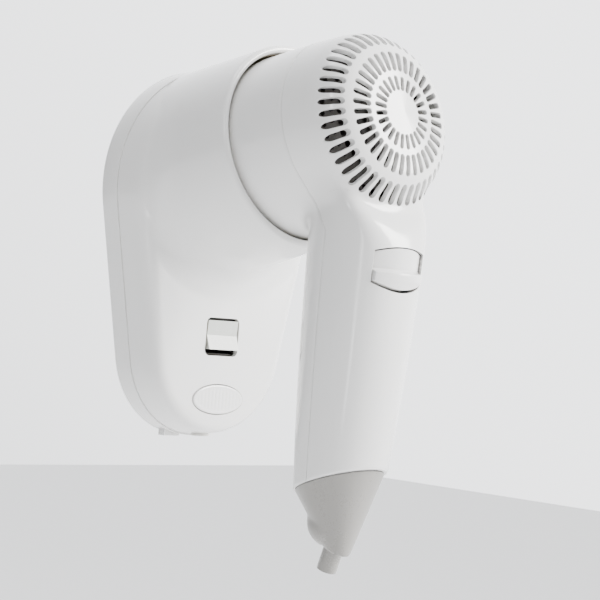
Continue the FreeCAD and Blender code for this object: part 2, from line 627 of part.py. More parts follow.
def make_handle_cap():
    """End cap: a funnel from the slanted joint to the neck, with the bulb of the swivel."""
    slope = math.radians(size("cap_slope"))
    joint_z = size("joint_height")
    middle = handle_middle(joint_z)

    def funnel(offset, drop):
        across, deep = (v - offset for v in handle_size(joint_z))
        centre = Vector(0, middle, joint_z - drop)
        uphill = Vector(0, -math.cos(slope), math.sin(slope))
        rim = oval_wire(centre, X_AXIS * across, uphill * (deep / math.cos(slope)))
        neck_radius = size("neck_radius") - offset * 0.4
        neck = oval_wire(Vector(0, size("neck_y"), size("neck_z")), X_AXIS * neck_radius,
                         Vector(0, -math.cos(0.33), -math.sin(0.33)) * neck_radius)
        return Part.makeLoft([rim, neck], True, True)

    gap = size("joint_gap")
    bulb_centre = Vector(0, size("bulb_y"), size("bulb_z"))
    outside = funnel(0, gap).fuse(Part.makeSphere(size("bulb_radius"), bulb_centre))
    inside = funnel(2, gap - 0.5).cut(below_cap_joint(gap + 11))
    pivot = Vector(0, size("swivel_y"), size("swivel_z"))
    half = size("swivel_half") + 0.4
    room = size("swivel_barrel") + 0.5
    chamber = Part.makeCylinder(room, 2 * half, pivot - X_AXIS * half, X_AXIS)
    reach = 40
    first, last = size("swivel_lean") - 8, size("swivel_lean") + size("swivel_swing") + 2

    def towards(degrees):
        angle = math.radians(degrees)
        return Vector(0, math.sin(angle), -math.cos(angle))
    steps = 6
    fan = [pivot] + [pivot + towards(first + (last - first) * i / steps) * reach
                     for i in range(steps + 1)]
    sweep = Part.Face(Part.makePolygon(fan + [pivot])).extrude(X_AXIS * 2 * half)
    sweep.translate(-X_AXIS * half)
    clear = size("stub_radius") + 0.6
    lanes = [Part.makeCylinder(clear, reach, pivot, towards(end)) for end in (first, last)]
    cord_way = Part.makeCylinder(3.2, 22, pivot, Vector(0, 0.0, 1))
    cap = outside.cut(inside).cut(chamber).cut(sweep).cut(lanes).cut(cord_way)
    pin = size("pin_radius")
    pin_length = 8.4
    pin_hole = Part.makeCylinder(pin, 2 * pin_length, pivot - X_AXIS * pin_length, X_AXIS)
    cap = cap.cut(pin_hole)
    shaped("handle_cap", cap.removeSplitter())
    shaped("swivel_pin", Part.makeCylinder(pin - 0.01, 2 * pin_length,
                                           pivot - X_AXIS * pin_length, X_AXIS))

    barrel = Part.makeCylinder(size("swivel_barrel"), 2 * size("swivel_half"),
                               pivot - X_AXIS * size("swivel_half"), X_AXIS)
    lean = math.radians(size("swivel_lean"))
    along = Vector(0, math.sin(lean), -math.cos(lean))
    stub = Part.makeCylinder(size("stub_radius"), size("stub_length"), pivot, along)
    cord_hole = Part.makeCylinder(3.0, size("stub_length") - 4, pivot + along * 6, along)
    bearing = Part.makeCylinder(pin + size("pin_clearance"), 20, pivot - X_AXIS * 10, X_AXIS)
    shaped("cord_swivel", barrel.fuse(stub).cut(cord_hole).cut(bearing).removeSplitter())


def make_hand_rocker():
    """Wide rocker that follows the round of the handle: sunk upper face, proud lower lip."""
    pivot = Vector(0, size("thumb_pivot"), size("thumb_height"))
    profile = [(-10.6, 9.0), (-10.6, -9.0), (-3.0, -7.6), (1.8, -3), (1.8, 3), (-1.0, 8.6)]
    wire = Part.makePolygon([Vector(-40, y, z) for y, z in profile + profile[:1]])
    blank = Part.Face(wire).extrude(Vector(80, 0, 0))
    blank.rotate(ORIGIN, X_AXIS, -size("thumb_press"))
    blank.translate(pivot)
    room, far_room = thumb_window(-0.6, -100), thumb_window(-0.4, -100)
    far_room.rotate(pivot, X_AXIS, -2 * size("thumb_press"))
    step = size("thumb_step")
    upper = block((-40, -200, step), (40, 0, 60)).common(handle_solid(size("thumb_sunk")))
    lower = block((-40, -200, -60), (40, 0, step)).common(handle_solid(-size("thumb_proud")))
    rocker = blank.common(room).common(far_room).common(upper.fuse(lower))
    reach = X_AXIS * size("thumb_pin_half")
    trunnion = rod(size("thumb_pin"), pivot - reach, pivot + reach)
    shaped("hand_rocker", rocker.fuse(trunnion).removeSplitter())


def make_air_path():
    place = on_axis()
    ring = turned("duct_turn", [
        ("sizes.duct_inner", "sizes.duct_back"), ("sizes.duct_outer", "sizes.duct_back"),
        ("sizes.duct_outer", "sizes.duct_front"), ("sizes.duct_inner", "sizes.duct_front")])
    hub = turned("hub_turn", [
        ("sizes.hub_inner", "sizes.duct_back + 3"), ("sizes.hub_outer", "sizes.duct_back + 3"),
        ("sizes.hub_outer", "102.4"), (3.6, "102.4"), (3.6, "101"), ("sizes.hub_inner", "101")])
    for name in ("duct_turn", "hub_turn"):
        parts.pop(name)
    vanes = []
    for i in range(VANE_COUNT):
        vane = box(f"vane_{i}", "sizes.duct_inner - sizes.hub_outer + 1.2", "1.4", "14")
        turn = Rotation(Z_AXIS, i * 360 / VANE_COUNT)
        vane.Placement = Placement(turn.multVec(Vector(size("hub_outer") - 0.6, -0.7, 83)), turn)
        vanes.append(vane)
    keep("fan_duct", joined("fan_duct", ring, hub, *vanes), place)

    turned("motor_can", [
        ("sizes.shaft_radius + 0.06", 79.4), ("sizes.motor_radius", 79.4),
        ("sizes.motor_radius", 100.8), (3.3, 100.8), (3.3, 102.6),
        ("sizes.shaft_radius + 0.06", 102.6)], place)
    turned("motor_shaft", [(0, 84), ("sizes.shaft_radius", 84), ("sizes.shaft_radius", 112),
                           (0, 112)], place)

    low, high = size("fan_back"), size("fan_front")
    radius, hub_radius = size("fan_radius"), size("fan_hub")
    rotor = turned_local([(size("shaft_radius"), low), (hub_radius, low),
                          (hub_radius, high - 2), (hub_radius - 3, high),
                          (size("shaft_radius"), high)])
    room = turned_local([(0, low), (radius, low), (radius, high), (0, high)])
    blades = []
    for i in range(BLADE_COUNT):
        blade = Part.makeBox(radius, 1.4, 20, Vector(hub_radius - 1, -0.7, -10))
        blade.rotate(ORIGIN, X_AXIS, BLADE_ANGLE)
        blade.translate(Vector(0, 0, (low + high) / 2))
        blade.rotate(ORIGIN, Z_AXIS, i * 360 / BLADE_COUNT)
        blades.append(blade.common(room))
    shaped("impeller", rotor.fuse(blades).removeSplitter(), place)

    screen = turned_local([(0, 114), (35.0, 114), (35.0, 114.6), (0, 114.6)])
    holes = []
    for radius_at, count in SCREEN_HOLE_RINGS:
        for i in range(count):
            hole = Part.makeCylinder(1.5, 4, Vector(radius_at, 0, 112))
            hole.rotate(ORIGIN, Z_AXIS, i * 360 / count)
            holes.append(hole)
    shaped("intake_screen", screen.cut(Part.makeCompound(holes)), place)

    card = turned_local([(2.5, 75.6), (12.4, 75.6), (12.4, 77), (2.5, 77)])
    diodes = []
    for i in range(4):
        diode = Part.makeCylinder(1.5, 5, Vector(8, -2.5, 74.3), Y_AXIS)
        diode.rotate(ORIGIN, Z_AXIS, i * 90)
        diodes.append(diode)
    shaped("rectifier_board", card.fuse(diodes).removeSplitter(), place)

    turned("heater_tube", [
        ("sizes.tube_inner", "sizes.tube_back"), ("sizes.tube_outer", "sizes.tube_back"),
        ("sizes.tube_outer", "sizes.tube_front"), ("sizes.tube_inner", "sizes.tube_front")],
        place)
    coil = size("coil_radius")
    spots = [Vector(0, 0, size("coil_start") + i * size("coil_pitch")) for i in range(COIL_TURNS)]
    rings = [Part.makeTorus(coil, size("wire_radius"), spot) for spot in spots]
    notches = [Part.makeTorus(coil, size("wire_radius") + 0.1, spot) for spot in spots]
    cards = [Part.makeBox(66, 1.2, 35.4, Vector(-33, -0.6, 29.6)),
             Part.makeBox(1.2, 66, 35.4, Vector(-0.6, -33, 29.6))]
    shaped("heater_former", cards[0].fuse(cards[1]).cut(notches).removeSplitter(), place)
    shaped("heater_coil", Part.makeCompound(rings), place)
    keep("thermostat", cylinder("thermostat", "6", "4.4"),
         Placement(station_point(65), place.Rotation))

    bars = []
    for i in range(4):
        bar = Part.makeBox(71, 1.5, 2.6, Vector(-35.5, -0.75, 24))
        bar.rotate(ORIGIN, Z_AXIS, i * 45)
        bars.append(bar)
    rings = [turned_local([(a, 24), (b, 24), (b, 26.6), (a, 26.6)])
             for a, b in ((0, 5), (13, 14.4), (23.4, 24.8), (34.4, 35.9))]
    shaped("outlet_grille", rings[0].fuse(rings[1:] + bars).removeSplitter(), place)


def make_handle_fittings():
    z = size("thumb_height")
    housing = block((-8, -125.6, z - 9), (8, -117, z + 9))
    well = block((-7, -140, z - 5), (7, -124.2, z + 5))
    tags = [block((x - 1, -117, z - 3), (x + 1, -113, z + 3)) for x in SWITCH_TAG_SPOTS]
    shaped("hand_switch_body", housing.cut(well).fuse(tags).removeSplitter())
    middle = handle_middle(-62)
    clamp = block((-10, middle - 4, -66), (10, middle + 5, -58))
    clamp = clamp.cut(rod(3.1, (0, middle + 0.5, -80), (0, middle + 0.5, -40)))
    shaped("cord_clamp", clamp)


# ---------------------------------------------------------------- build, check, export
def build():
    make_back_plate()
    make_front_cover()
    make_wall_fittings()
    make_cord_grommet(parts["front_cover"])
    make_hand_shells()
    make_handle_cap()
    make_hand_rocker()
    make_air_path()
    make_handle_fittings()
    doc.recompute()


def check():
    for thing in doc.Objects:
        if any(state in ("Invalid", "Error") for state in thing.State):
            raise RuntimeError(f"{thing.Label} failed: {thing.State}")
    for label, thing in parts.items():
        if thing.Shape.isNull() or not thing.Shape.isValid():
            raise RuntimeError(f"{label} has no valid shape")


def export():
    os.makedirs("parts", exist_ok=True)
    for label, thing in parts.items():
        thing.Shape.exportStep(f"parts/{label}.step")
        shape = thing.Shape
        print(f"{label}: {len(shape.Solids)} solid(s), {shape.Volume:.0f} mm3")


build()
check()
export()
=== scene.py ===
import json
import math

import bmesh
import bpy
import numpy as np
from mathutils import Matrix, Vector


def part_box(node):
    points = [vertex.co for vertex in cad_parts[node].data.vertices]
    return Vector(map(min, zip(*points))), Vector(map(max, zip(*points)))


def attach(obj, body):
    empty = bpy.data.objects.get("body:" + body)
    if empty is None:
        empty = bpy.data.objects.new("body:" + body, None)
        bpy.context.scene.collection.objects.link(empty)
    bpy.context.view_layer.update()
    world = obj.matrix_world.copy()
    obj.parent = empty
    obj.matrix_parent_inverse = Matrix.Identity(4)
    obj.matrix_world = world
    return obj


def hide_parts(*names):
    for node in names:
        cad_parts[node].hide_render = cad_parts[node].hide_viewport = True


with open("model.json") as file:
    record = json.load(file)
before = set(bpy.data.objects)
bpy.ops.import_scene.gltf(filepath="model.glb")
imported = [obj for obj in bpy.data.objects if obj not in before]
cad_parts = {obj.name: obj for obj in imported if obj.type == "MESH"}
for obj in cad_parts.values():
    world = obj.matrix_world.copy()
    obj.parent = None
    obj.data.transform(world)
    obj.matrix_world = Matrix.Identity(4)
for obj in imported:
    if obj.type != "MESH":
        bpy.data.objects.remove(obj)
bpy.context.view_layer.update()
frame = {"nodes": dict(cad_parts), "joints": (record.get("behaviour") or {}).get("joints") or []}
nodes = frame["nodes"]

# ------------------------------------------------------------------ driving sizes, in mm
MM = 0.001
joints = {joint["name"]: joint for joint in frame["joints"]}
AXIS = np.array(joints["hand_slide"]["axis"])
FAN = np.array(joints["fan_spin"]["pos_m"]) / MM
TILT = math.asin(AXIS[2])
AXIS_START = FAN - AXIS * (FAN[1] / AXIS[1])       # where the barrel axis meets the wall
AXIS_UP = np.array([0.0, AXIS[2], -AXIS[1]])
WALL_HIGH = np.array(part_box("back_plate")[1]) / MM
TOP_R = WALL_HIGH[0]
TOP_Z = WALL_HIGH[2] - TOP_R
BOTTOM_R, BOTTOM_Z = 40.6, -46.2
PLATE_DEPTH, COVER_DEPTH = 10.0, 26.0
SIDE_DRAFT, FACE_EDGE, COVER_BLEND = 2.2, 4.6, 15.0
CUP_ROOT, CUP_RIM, CUP_LENGTH, CUP_MOUTH, CUP_BORE = 48.2, 45.45, 70.4, 42.2, 43.3
CUP_LEAN = (CUP_RIM - CUP_ROOT) / CUP_LENGTH
COVER_WALL, COVER_BACK = 2.4, PLATE_DEPTH + 0.15
WINDOW_Z, WINDOW_W, WINDOW_H = -40.8, 19.6, 17.2
OVAL_Z, OVAL_LONG, OVAL_SHORT = -69.1, 14.8, 6.6

# barrel and crown of the hand unit as (radius, station along the axis)
BARREL = [(38.2, 20.0), (38.2, 22.0), (40.9, 68.0), (39.7, 99.0), (38.5, 113.0)]
CROWN = [(38.5, 113.0), (37.2, 118.4), (34.2, 123.6), (29.2, 127.6), (16.0, 130.6),
         (0.0, 131.8)]
SEAM_STATION, OUTLET_STATION, SHELL = 99.0, 22.0, 2.2
SLOT_FLOOR, SLOT_TOP = 114.9, 137.0
# slots in the ring, inner radius, outer radius, half width
GRILLE_RINGS = ((24, 9.5, 15.8, 0.92), (36, 18.1, 26.8, 1.15), (44, 30.1, 37.3, 1.45))
HANDLE_FRONT, HANDLE_LEAN = -112.4, math.radians(3)
SHOULDER_Y, SHOULDER_Z, SHOULDER_R = -97.0, -8.0, 39.6
HAND_BLEND, SHOULDER_BLEND = 8.0, 5.0
JOINT_Z, CAP_SLOPE, CAP_GAP = -97.0, math.radians(20.7), 0.3
NECK = np.array([0.0, -109.3, -126.6])
NECK_R, NECK_TILT = 5.6, 0.33
BULB_R, BULB_Y, BULB_Z = 11.0, -105.2, -114.5
SWING_HALF, SWING_ROOM, SWING_REACH = 4.7, 5.2, 40.0     # slot of the cord swivel
SWING_FIRST, SWING_LAST = math.radians(11), math.radians(91)
SKIN_VOXEL, CAP_VOXEL = 1.15, 0.7
SEAM_TURN_Z, SEAM_SLIT = 8.0, 0.06
HANDLE_SCREW_Z, BOSS_R, BOSS_HOLE_R = (-36, -80), 3.9, 2.9
GROMMET_Y, GROMMET_HOLE_R = -15.6, 3.9
THUMB_HALF, THUMB_TOP, THUMB_LOW, THUMB_ARCH_TOP, THUMB_ARCH_LOW = 14.5, 1.0, -12.2, 2.2, 3.6
THUMB_PIVOT = np.array(joints["hand_rocker_tip"]["pos_m"]) / MM
THUMB_TRAVEL, THUMB_PIN_R, THUMB_PIN_HALF = 8.0, 1.2, 15.9
CORD_PIVOT = np.array(joints["cord_swivel_tip"]["pos_m"]) / MM


# ------------------------------------------------------------------ small maths kit
def smooth_min(a, b, k):
    """Union of two distances with a soft blend of reach k."""
    k = np.maximum(k, 1e-6)
    mix = np.maximum(k - np.abs(a - b), 0) / k
    return np.minimum(a, b) - mix * mix * k * 0.25


def smooth_max(a, b, k):
    return -smooth_min(-a, -b, k)


def round_corner(a, b, radius):
    """Distance to the corner of two half spaces, rounded off."""
    a, b = a + radius, b + radius
    outer = np.hypot(np.maximum(a, 0), np.maximum(b, 0))
    return outer + np.minimum(np.maximum(a, b), 0) - radius


def teardrop_distance(x, z):
    """Distance in the wall plane to the outline of two circles and their tangents."""
    tall = TOP_Z - BOTTOM_Z
    slope = (BOTTOM_R - TOP_R) / tall
    side = math.sqrt(1 - slope * slope)
    x, z = np.abs(x), z - BOTTOM_Z
    along = -slope * x + side * z
    straight = side * x + slope * z - BOTTOM_R
    low = np.hypot(x, z) - BOTTOM_R
    high = np.hypot(x, z - tall) - TOP_R
    return np.where(along < 0, low, np.where(along > side * tall, high, straight))


def axis_coordinates(points):
    """Station along the barrel axis and distance from it."""
    local = points - AXIS_START
    station = local @ AXIS
    return station, np.linalg.norm(local - station[..., None] * AXIS, axis=-1)


def on_axis(across, up, station):
    return AXIS_START + AXIS * station + AXIS_UP * up + np.array([across, 0, 0])


def natural_spline(points, count):
    """Natural cubic spline through points, over chord length."""
    points = np.array(points, float)
    chord = np.r_[0, np.cumsum(np.linalg.norm(np.diff(points, axis=0), axis=1))]
    n, h = len(points), np.diff(chord)
    system, right = np.eye(n), np.zeros((n, 2))
    for i in range(1, n - 1):
        system[i, i - 1:i + 2] = h[i - 1], 2 * (h[i - 1] + h[i]), h[i]
        slopes = (points[i + 1] - points[i]) / h[i], (points[i] - points[i - 1]) / h[i - 1]
        right[i] = 6 * (slopes[0] - slopes[1])
    bend = np.linalg.solve(system, right)
    at = np.linspace(0, chord[-1], count)
    i = np.clip(np.searchsorted(chord, at) - 1, 0, n - 2)
    a, b = (chord[i + 1] - at)[:, None], (at - chord[i])[:, None]
    hi = h[i][:, None]
    return (bend[i] * a ** 3 + bend[i + 1] * b ** 3) / (6 * hi) + \
        (points[i] / hi - bend[i] * hi / 6) * a + (points[i + 1] / hi - bend[i + 1] * hi / 6) * b


DOME_PROFILE = np.array([(r, s) for r, s in BARREL[:-1]] +
                        [tuple(p) for p in natural_spline(CROWN, 40)])


def dome_distance(points):
    station, radius = axis_coordinates(points)
    best = np.full(radius.shape, 1e9)
    for start, end in zip(DOME_PROFILE, DOME_PROFILE[1:]):
        run = end - start
        t = np.clip(((radius - start[0]) * run[0] + (station - start[1]) * run[1])
                    / (run @ run), 0, 1)
        best = np.minimum(best, np.hypot(radius - start[0] - t * run[0],
                                         station - start[1] - t * run[1]))
    limit = np.interp(station, DOME_PROFILE[:, 1], DOME_PROFILE[:, 0], right=-1)
    inside = (radius < limit) & (station > BARREL[0][1])
    end_face = BARREL[0][1] - station
    signed = np.where(inside, -best, best)
    behind = (radius < BARREL[0][0]) & (end_face > -3)
    return np.where(behind, np.maximum(end_face, radius - BARREL[0][0]), signed)


def handle_size(z):
    across = 25.3 + 0.030 * z - 0.00024 * z ** 2
    deep = 24.1 + 0.018 * z - 0.00036 * z ** 2
    return across, deep


def handle_middle(z):
    return HANDLE_FRONT - math.tan(HANDLE_LEAN) * z


def oval_distance(x, y, across, deep):
    near = np.hypot(x / across, y / deep)
    slope = np.hypot(x / across ** 2, y / deep ** 2)
    return near * (near - 1) / np.maximum(slope, 1e-9)


def handle_distance(points):
    x, y, z = points[..., 0], points[..., 1], points[..., 2]
    level = np.clip(z, -140, 30)
    across, deep = handle_size(level)
    tube = oval_distance(x, y - handle_middle(level), across, deep)
    shoulder = round_corner(SHOULDER_Y - SHOULDER_R - y, z - SHOULDER_Z - SHOULDER_R,
                            SHOULDER_R)
    body = smooth_max(tube, shoulder, SHOULDER_BLEND)
    return np.maximum(body, np.maximum(z - 28, -136 - z))


def hand_distance(points):
    return smooth_min(dome_distance(points), handle_distance(points), HAND_BLEND)


def gradient(distance, points, step=0.05):
    parts = []
    for axis in range(3):
        shift = np.zeros(3)
        shift[axis] = step
        parts.append((distance(points + shift) - distance(points - shift)) / (2 * step))
    return np.stack(parts, -1)


def pull_to_surface(distance, points, rounds=3):
    for _ in range(rounds):
        slope = gradient(distance, points)
        size = np.maximum((slope ** 2).sum(-1, keepdims=True), 0.2)
        points = points - distance(points)[..., None] * slope / size
    return points


# ------------------------------------------------------------------ mesh helpers
def new_object(name, vertices, faces):
    mesh = bpy.data.meshes.new(name)
    mesh.from_pydata([tuple(v) for v in np.asarray(vertices) * MM], [], faces)
    mesh.validate()
    thing = bpy.data.objects.new(name, mesh)
    bpy.context.scene.collection.objects.link(thing)
    return thing


def grid_faces(rows, columns, wrap_rows=False):
    """Quads of a grid whose columns close into a ring."""
    faces = []
    for i in range(rows if wrap_rows else rows - 1):
        for j in range(columns):
            k, below = (j + 1) % columns, (i + 1) % rows
            faces.append((i * columns + j, i * columns + k, below * columns + k,
                          below * columns + j))
    return faces


def apply_modifiers(thing):
    graph = bpy.context.evaluated_depsgraph_get()
    mesh = bpy.data.meshes.new_from_object(thing.evaluated_get(graph))
    thing.modifiers.clear()
    old, thing.data = thing.data, mesh
    bpy.data.meshes.remove(old)


def modify(thing, kind, **settings):
    modifier = thing.modifiers.new(kind.lower(), kind)
    for key, value in settings.items():
        setattr(modifier, key, value)
    apply_modifiers(thing)


def cut(thing, cutter, operation="DIFFERENCE"):
    modify(thing, "BOOLEAN", operation=operation, object=cutter, solver="MANIFOLD")
    mesh = cutter.data
    bpy.data.objects.remove(cutter)
    bpy.data.meshes.remove(mesh)


def smooth(thing, degrees=32):
    thing.data.polygons.foreach_set("use_smooth", [True] * len(thing.data.polygons))
    thing.data.set_sharp_from_angle(angle=math.radians(degrees))
    thing.data.update()


def recalculate(thing):
    work = bmesh.new()
    work.from_mesh(thing.data)
    bmesh.ops.recalc_face_normals(work, faces=work.faces)
    work.to_mesh(thing.data)
    work.free()


def coordinates(mesh):
    flat = np.zeros(len(mesh.vertices) * 3)
    mesh.vertices.foreach_get("co", flat)
    return flat.reshape(-1, 3)


# ------------------------------------------------------------------ front cover with its cup
def cover_distance(x, y, z, around):
    """Teardrop body blended into the cup; the blend is widest where the two meet squarely."""
    draft = SIDE_DRAFT * np.clip((-y - PLATE_DEPTH) / (COVER_DEPTH - PLATE_DEPTH), 0, 1)
    side = teardrop_distance(x, z) + 0.5 + draft
    face = -y - COVER_DEPTH
    body = round_corner(side, face, FACE_EDGE)
    station, radius = axis_coordinates(np.stack([x, y, z], -1))
    cup = (radius - CUP_ROOT - CUP_LEAN * station) * math.cos(math.atan(CUP_LEAN))
    weight_side = np.maximum(side + FACE_EDGE, 0) + 1e-6
    weight_face = np.maximum(face + FACE_EDGE, 0) + 1e-6
    norm = np.hypot(weight_side, weight_face)
    facing = (weight_side - math.sin(TILT) * np.cos(around) * weight_face) / norm
    return smooth_min(body, cup, COVER_BLEND * np.clip(1 - facing, 0, 1))


def make_front_cover():
    """Polar grid about the barrel axis: skin, rounded lip, bore and inner skin in one loop."""
    columns, samples, first_rows, second_rows = 288, 420, 40, 34
    around = np.arange(columns) * 2 * math.pi / columns
    tilt_tan = math.tan(TILT)
    rise = np.linspace(0.0, math.radians(66), samples)

    def spot(out, depth, angle):
        return np.stack([out * np.sin(angle), -depth,
                         AXIS_START[2] + depth * tilt_tan + out * np.cos(angle)], -1)

    angle = around[:, None] * np.ones(samples)
    cos_rise, sin_rise = np.cos(rise)[None], np.sin(rise)[None]
    low, high = np.full(angle.shape, 5.0), np.full(angle.shape, 220.0)
    for _ in range(26):
        middle = (low + high) / 2
        p = spot(middle * cos_rise, middle * sin_rise, angle)
        inside = cover_distance(p[..., 0], p[..., 1], p[..., 2], angle) < 0
        low, high = np.where(inside, middle, low), np.where(inside, high, middle)
    curve = spot(low * cos_rise, low * sin_rise, angle)
    lip_radius = (CUP_RIM - CUP_MOUTH) / 2
    rows = []
    for j in range(columns):
        line = curve[j]
        station, radius = axis_coordinates(line)
        reach = np.r_[0, np.cumsum(np.linalg.norm(np.diff(line, axis=0), axis=1))]
        start = np.interp(COVER_BACK, -line[:, 1], reach)
        stop = np.interp(CUP_LENGTH - lip_radius, station, reach)
        off_cup = radius - CUP_ROOT - CUP_LEAN * station
        near = reach[np.argmax((off_cup < COVER_BLEND * 0.8) & (reach > start + 0.5))]
        knee = max(near, start + 0.16 * (stop - start))
        at = np.r_[start + (knee - start) * np.linspace(0, 1, first_rows) ** 1.25,
                   np.linspace(knee, stop, second_rows)[1:]]
        rows.append(np.stack([np.interp(at, reach, line[:, k]) for k in range(3)], -1))
    outer = np.array(rows).transpose(1, 0, 2)

    ring = []
    centre_radius = (CUP_RIM + CUP_MOUTH) / 2
    radial = np.stack([np.sin(around), AXIS_UP[1] * np.cos(around),
                       AXIS_UP[2] * np.cos(around)], -1)

    def circle(radius, station):
        return AXIS_START + AXIS * station + radial * radius
    for degrees in range(15, 181, 15):
        turn = math.radians(degrees)
        ring.append(circle(centre_radius + lip_radius * math.cos(turn),
                           CUP_LENGTH - lip_radius + lip_radius * math.sin(turn)))
    for radius, station in ((CUP_MOUTH, 66.6), (CUP_MOUTH, 66.0), (CUP_BORE, 65.8),
                            (CUP_BORE, 50), (CUP_BORE, 34), (CUP_BORE, 19), (CUP_BORE, 17.2),
                            (CUP_BORE + 1.4, 17.0)):
        ring.append(circle(radius, station))
        ring[-1][:, 1] = np.minimum(ring[-1][:, 1], -COVER_BACK)
    lined = first_rows - 4                             # rows that also get an inner skin
    flat = outer[:lined].reshape(-1, 3)
    angles = np.tile(around, lined)

    def field(points):
        return cover_distance(points[:, 0], points[:, 1], points[:, 2], angles)
    slope = gradient(field, flat, 0.2)
    slope /= np.linalg.norm(slope, axis=1, keepdims=True)
    inner = (flat - slope * COVER_WALL).reshape(lined, columns, 3)
    inner[..., 1] = np.minimum(inner[..., 1], -COVER_BACK)
    inner = inner[::-1]
    loops = np.concatenate([outer, np.array(ring), inner])
    cover = new_object("cover_shell", loops.reshape(-1, 3),
                       grid_faces(len(loops), columns, wrap_rows=True))
    recalculate(cover)
    return cover


def prism(name, outline, low, high, flare=0.0):
    """Closed prism along Y from an outline of (x, z); the room end may flare outwards."""
    outline = np.array(outline)
    middle = outline.mean(0)
    rings = []
    for y, grow in ((high, 0), (low + 1.2, 0), (low, flare)):
        away = outline - middle
        size = np.linalg.norm(away, axis=1, keepdims=True)
        ring = outline + away / size * grow
        rings.append(np.stack([ring[:, 0], np.full(len(ring), y), ring[:, 1]], -1))
    n = len(outline)
    faces = grid_faces(3, n) + [tuple(range(n))[::-1], tuple(range(2 * n, 3 * n))]
    thing = new_object(name, np.concatenate(rings), faces)
    recalculate(thing)
    return thing


def rounded_rectangle(width, height, radius, centre_z, steps=6):
    points = []
    for quadrant, (sx, sz) in enumerate(((1, 1), (-1, 1), (-1, -1), (1, -1))):
        centre = (sx * (width / 2 - radius), centre_z + sz * (height / 2 - radius))
        for i in range(steps + 1):
            angle = math.pi / 2 * (quadrant + i / steps)
            points.append((centre[0] + radius * math.cos(angle),
                           centre[1] + radius * math.sin(angle)))
    return points


def oval(long_half, short_half, centre_z, count=72):
    return [(long_half * math.cos(a), centre_z + short_half * math.sin(a))
            for a in np.arange(count) * 2 * math.pi / count]


# ------------------------------------------------------------------ hand unit shells
def closed_tube(name, rings):
    """Closed skin over a stack of equal rings, with flat ends."""
    rings = np.array(rings)
    rows, columns = rings.shape[:2]
    faces = grid_faces(rows, columns)
    faces += [tuple(range(columns))[::-1],
              tuple(range((rows - 1) * columns, rows * columns))]
    thing = new_object(name, rings.reshape(-1, 3), faces)
    recalculate(thing)
    return thing


def smooth_skin(name, pieces, distance, voxel, relax=2):
    """Union of closed pieces, remeshed and then pulled onto the exact smooth surface."""
    base = pieces[0]
    work = bmesh.new()
    for piece in pieces:
        work.from_mesh(piece.data)
    work.to_mesh(base.data)
    work.free()
    for piece in pieces[1:]:
        bpy.data.objects.remove(piece)
    base.name = name
    modify(base, "REMESH", mode="VOXEL", voxel_size=voxel * MM, use_smooth_shade=True)
    points = pull_to_surface(distance, coordinates(base.data) / MM)
    edges = np.zeros(len(base.data.edges) * 2, int)
    base.data.edges.foreach_get("vertices", edges)
    edges = edges.reshape(-1, 2)
    for _ in range(relax):
        total, count = np.zeros_like(points), np.zeros(len(points))
        for a, b in ((0, 1), (1, 0)):
            np.add.at(total, edges[:, a], points[edges[:, b]])
            np.add.at(count, edges[:, a], 1)
        points = pull_to_surface(distance, 0.4 * points + 0.6 * total / count[:, None], 2)
    base.data.vertices.foreach_set("co", (points * MM).ravel())
    base.data.update()
    return base


def hand_skin():
    """Outer skin of barrel, dome and handle in one smooth surface."""
    turn = np.arange(96) * 2 * math.pi / 96
    barrel = [[on_axis(max(r, 0.5) * math.sin(a), max(r, 0.5) * math.cos(a), s) for a in turn]
              for r, s in DOME_PROFILE]
    tube = []
    for z in np.linspace(20, -134, 40):
        across, deep = handle_size(z)
        tube.append([(across * math.sin(a), handle_middle(z) + deep * math.cos(a), z)
                     for a in turn])
    pieces = [closed_tube("skin_barrel", barrel), closed_tube("skin_handle", tube)]
    return smooth_skin("hand_skin", pieces, hand_distance, SKIN_VOXEL)


SEAM = [AXIS_START + AXIS * SEAM_STATION + AXIS_UP * 90, AXIS_START + AXIS * SEAM_STATION
        - AXIS_UP * 30, np.array([0, handle_middle(SEAM_TURN_Z), SEAM_TURN_Z]),
        np.array([0, handle_middle(-160), -160.0])]
SEAM = np.array([p[1:] for p in SEAM])
JOINT_AT = np.array([handle_middle(JOINT_Z), JOINT_Z])
JOINT_NORMAL = np.array([math.sin(CAP_SLOPE), math.cos(CAP_SLOPE)])


def seam_parts(points):
    """Distance in the YZ plane to each straight run of the shell seam."""
    flat = points[..., 1:]
    gaps = []
    for start, end in zip(SEAM, SEAM[1:]):
        run = end - start
        t = np.clip((flat - start) @ run / (run @ run), 0, 1)
        gaps.append(np.linalg.norm(flat - start - t[..., None] * run, axis=-1))
    return np.stack(gaps, -1)


def edge_gap(points):
    """Distance to the nearest edge where the skin of the hand unit ends."""
    joint = np.abs((points[..., 1:] - JOINT_AT) @ JOINT_NORMAL)
    mouth = np.abs(axis_coordinates(points)[0] - OUTLET_STATION)
    return np.minimum(np.minimum(seam_parts(points).min(-1), joint), mouth)


